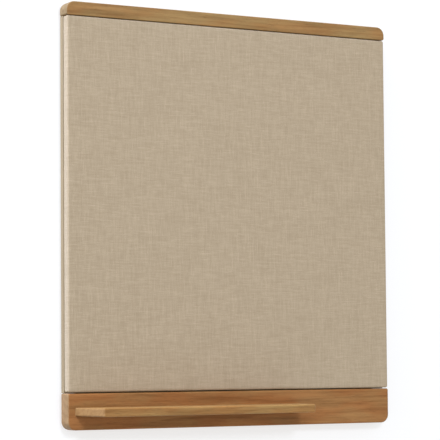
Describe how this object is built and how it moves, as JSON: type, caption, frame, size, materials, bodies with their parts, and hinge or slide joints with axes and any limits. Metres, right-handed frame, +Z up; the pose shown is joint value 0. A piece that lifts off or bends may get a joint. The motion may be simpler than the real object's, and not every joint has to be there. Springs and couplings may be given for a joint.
{
  "type": "memo board",
  "caption": "Wall-hung memo board: linen-covered tack panel between a wooden cap and a taller wooden rail, with a pencil ledge set left of centre and swinging hanger rings behind.",
  "frame": {"origin": "on the wall plane, midway between the two hanger rings and level with the hooks that carry them", "axes": "+X to the right seen from the front, +Y into the wall so that the linen faces -Y, +Z up"},
  "size_m": [0.54, 0.099, 0.61],
  "materials": {
    "cap_wood": "satin",
    "rail_wood": "satin",
    "ledge_wood": "satin",
    "back_board": "matte",
    "soft_board": "matte",
    "linen": "matte",
    "screw_steel": "satin",
    "hanger_steel": "satin",
    "bumper_rubber": "matte"
  },
  "bodies": {
    "board": {"top_rail": "cap_wood", "bottom_rail": "rail_wood", "pencil_ledge": "ledge_wood", "back_panel": "back_board", "tack_core": "soft_board", "linen_cover": "linen", "top_rail_screw_1": "screw_steel", "top_rail_screw_2": "screw_steel", "top_rail_screw_3": "screw_steel", "top_rail_screw_4": "screw_steel", "bottom_rail_screw_1": "screw_steel", "bottom_rail_screw_2": "screw_steel", "bottom_rail_screw_3": "screw_steel", "bottom_rail_screw_4": "screw_steel", "panel_screw_1": "screw_steel", "panel_screw_2": "screw_steel", "panel_screw_3": "screw_steel", "panel_screw_4": "screw_steel", "panel_screw_5": "screw_steel", "panel_screw_6": "screw_steel", "ledge_screw_1": "screw_steel", "ledge_screw_2": "screw_steel", "ledge_screw_3": "screw_steel", "hanger_strap_left": "hanger_steel", "hanger_strap_right": "hanger_steel", "hanger_screw_left_1": "hanger_steel", "hanger_screw_left_2": "hanger_steel", "hanger_screw_right_1": "hanger_steel", "hanger_screw_right_2": "hanger_steel", "wall_bumper_left": "bumper_rubber", "wall_bumper_right": "bumper_rubber"},
    "ring_left": {"hanger_ring_left": "hanger_steel"},
    "ring_right": {"hanger_ring_right": "hanger_steel"}
  },
  "joints": [
    {"name": "ring_left_swing", "type": "hinge", "parent": "board", "child": "ring_left", "pos_m": [-0.203, -0.0028, -0.0149], "axis": [-1, 0, 0], "range_deg": [0, 178]},
    {"name": "ring_right_swing", "type": "hinge", "parent": "board", "child": "ring_right", "pos_m": [0.203, -0.0028, -0.0149], "axis": [-1, 0, 0], "range_deg": [0, 178]}
  ]
}
